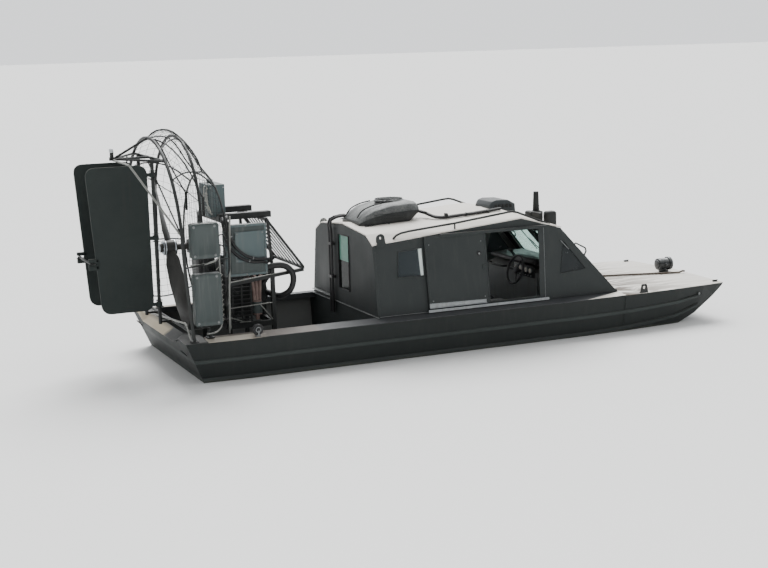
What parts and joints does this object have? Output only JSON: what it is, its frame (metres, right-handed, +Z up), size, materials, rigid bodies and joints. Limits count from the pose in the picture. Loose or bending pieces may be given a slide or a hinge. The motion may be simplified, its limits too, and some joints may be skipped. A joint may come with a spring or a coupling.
{
  "type": "cabin airboat",
  "caption": "Flat-bottomed cabin airboat with an air propeller in a wire cage, coupled air rudders, sliding side doors and a panning searchlight.",
  "frame": {"origin": "under the middle of the boat on the plane of its flat bottom", "axes": "+X forward to the bow, +Y to port, +Z up; the waterline is at z = 0.14 m"},
  "size_m": [7.8, 2.5108, 2.8067],
  "materials": {
    "hull_paint": "worn satin",
    "deck_paint": "matt, dusty",
    "cabin_paint": "satin",
    "pale_paint": "matt, stained",
    "bare_metal": "scratched",
    "grey_box": "satin",
    "dark_metal": "satin",
    "blade": "worn",
    "rubber": "matt",
    "glass": "clear green tint",
    "rust": "rusted",
    "seat_cloth": "matt"
  },
  "bodies": {
    "boat": {"hull": "hull_paint", "bow": "hull_paint", "side_deck_starboard": "deck_paint", "side_deck_port": "deck_paint", "stern_deck": "pale_paint", "foredeck": "pale_paint", "well_floor": "deck_paint", "cabin_floor": "deck_paint", "cabin_wall_starboard": "cabin_paint", "cabin_wall_port": "cabin_paint", "door_track_starboard": "bare_metal", "door_track_port": "bare_metal", "aft_bulkhead": "cabin_paint", "windscreen_frame": "cabin_paint", "windscreen_glass_starboard": "glass", "windscreen_glass_port": "glass", "aft_glass": "glass", "side_glass_starboard": "glass", "side_glass_port": "glass", "quarter_glass_starboard": "glass", "quarter_glass_port": "glass", "roof": "pale_paint", "roof_lug_starboard": "cabin_paint", "roof_lug_port": "cabin_paint", "air_conditioner": "dark_metal", "roof_vent": "dark_metal", "mast": "dark_metal", "corner_lamp": "dark_metal", "roof_rail_starboard": "dark_metal", "roof_rail_port": "dark_metal", "roof_conduit": "rubber", "cooling_hoses": "rubber", "searchlight_base": "dark_metal", "bow_pole": "dark_metal", "engine_stand": "dark_metal", "engine": "dark_metal", "drive_housing": "dark_metal", "exhaust_starboard": "rust", "exhaust_port": "rust", "radiator_hose": "rubber", "side_tank": "grey_box", "header_tank": "grey_box", "cage": "dark_metal", "side_box_upper": "grey_box", "side_box_lower": "grey_box", "rudder_frame": "dark_metal", "helm_console": "dark_metal", "helm_seat": "seat_cloth", "mate_seat": "seat_cloth", "bench_seat": "seat_cloth"},
    "propeller": {"propeller": "blade"},
    "rudder_port": {"rudder_port": "hull_paint"},
    "rudder_starboard": {"rudder_starboard": "hull_paint"},
    "tie_rod": {"tie_rod": "bare_metal"},
    "door_starboard": {"door_starboard": "cabin_paint"},
    "door_port": {"door_port": "cabin_paint"},
    "searchlight": {"searchlight_head": "dark_metal"}
  },
  "joints": [
    {"name": "propeller_spin", "type": "hinge", "parent": "boat", "child": "propeller", "pos_m": [-2.92, 0, 1.475], "axis": [1, 0, 0], "continuous": true},
    {"name": "rudder_port_turn", "type": "hinge", "parent": "boat", "child": "rudder_port", "pos_m": [-3.145, 0.3, 1.6], "axis": [0, 0, 1], "range_deg": [-30, 30]},
    {"name": "rudder_starboard_turn", "type": "hinge", "parent": "boat", "child": "rudder_starboard", "pos_m": [-3.145, -0.3, 1.6], "axis": [0, 0, 1], "range_deg": [-30, 30]},
    {"name": "tie_rod_pivot", "type": "hinge", "parent": "rudder_port", "child": "tie_rod", "pos_m": [-3.87, 0.3, 1.406], "axis": [0, 0, 1], "range_deg": [-30, 30]},
    {"name": "door_starboard_slide", "type": "slide", "parent": "boat", "child": "door_starboard", "axis": [1, 0, 0], "range_m": [0, 0.755]},
    {"name": "door_port_slide", "type": "slide", "parent": "boat", "child": "door_port", "axis": [1, 0, 0], "range_m": [0, 0.755]},
    {"name": "searchlight_pan", "type": "hinge", "parent": "boat", "child": "searchlight", "pos_m": [3.658, -0.12, 0.7], "axis": [0, 0, 1], "range_deg": [-170, 170]}
  ],
  "couplings": [
    {"joint": "rudder_starboard_turn", "follows": "rudder_port_turn", "ratio": 1},
    {"joint": "tie_rod_pivot", "follows": "rudder_port_turn", "ratio": -1}
  ]
}
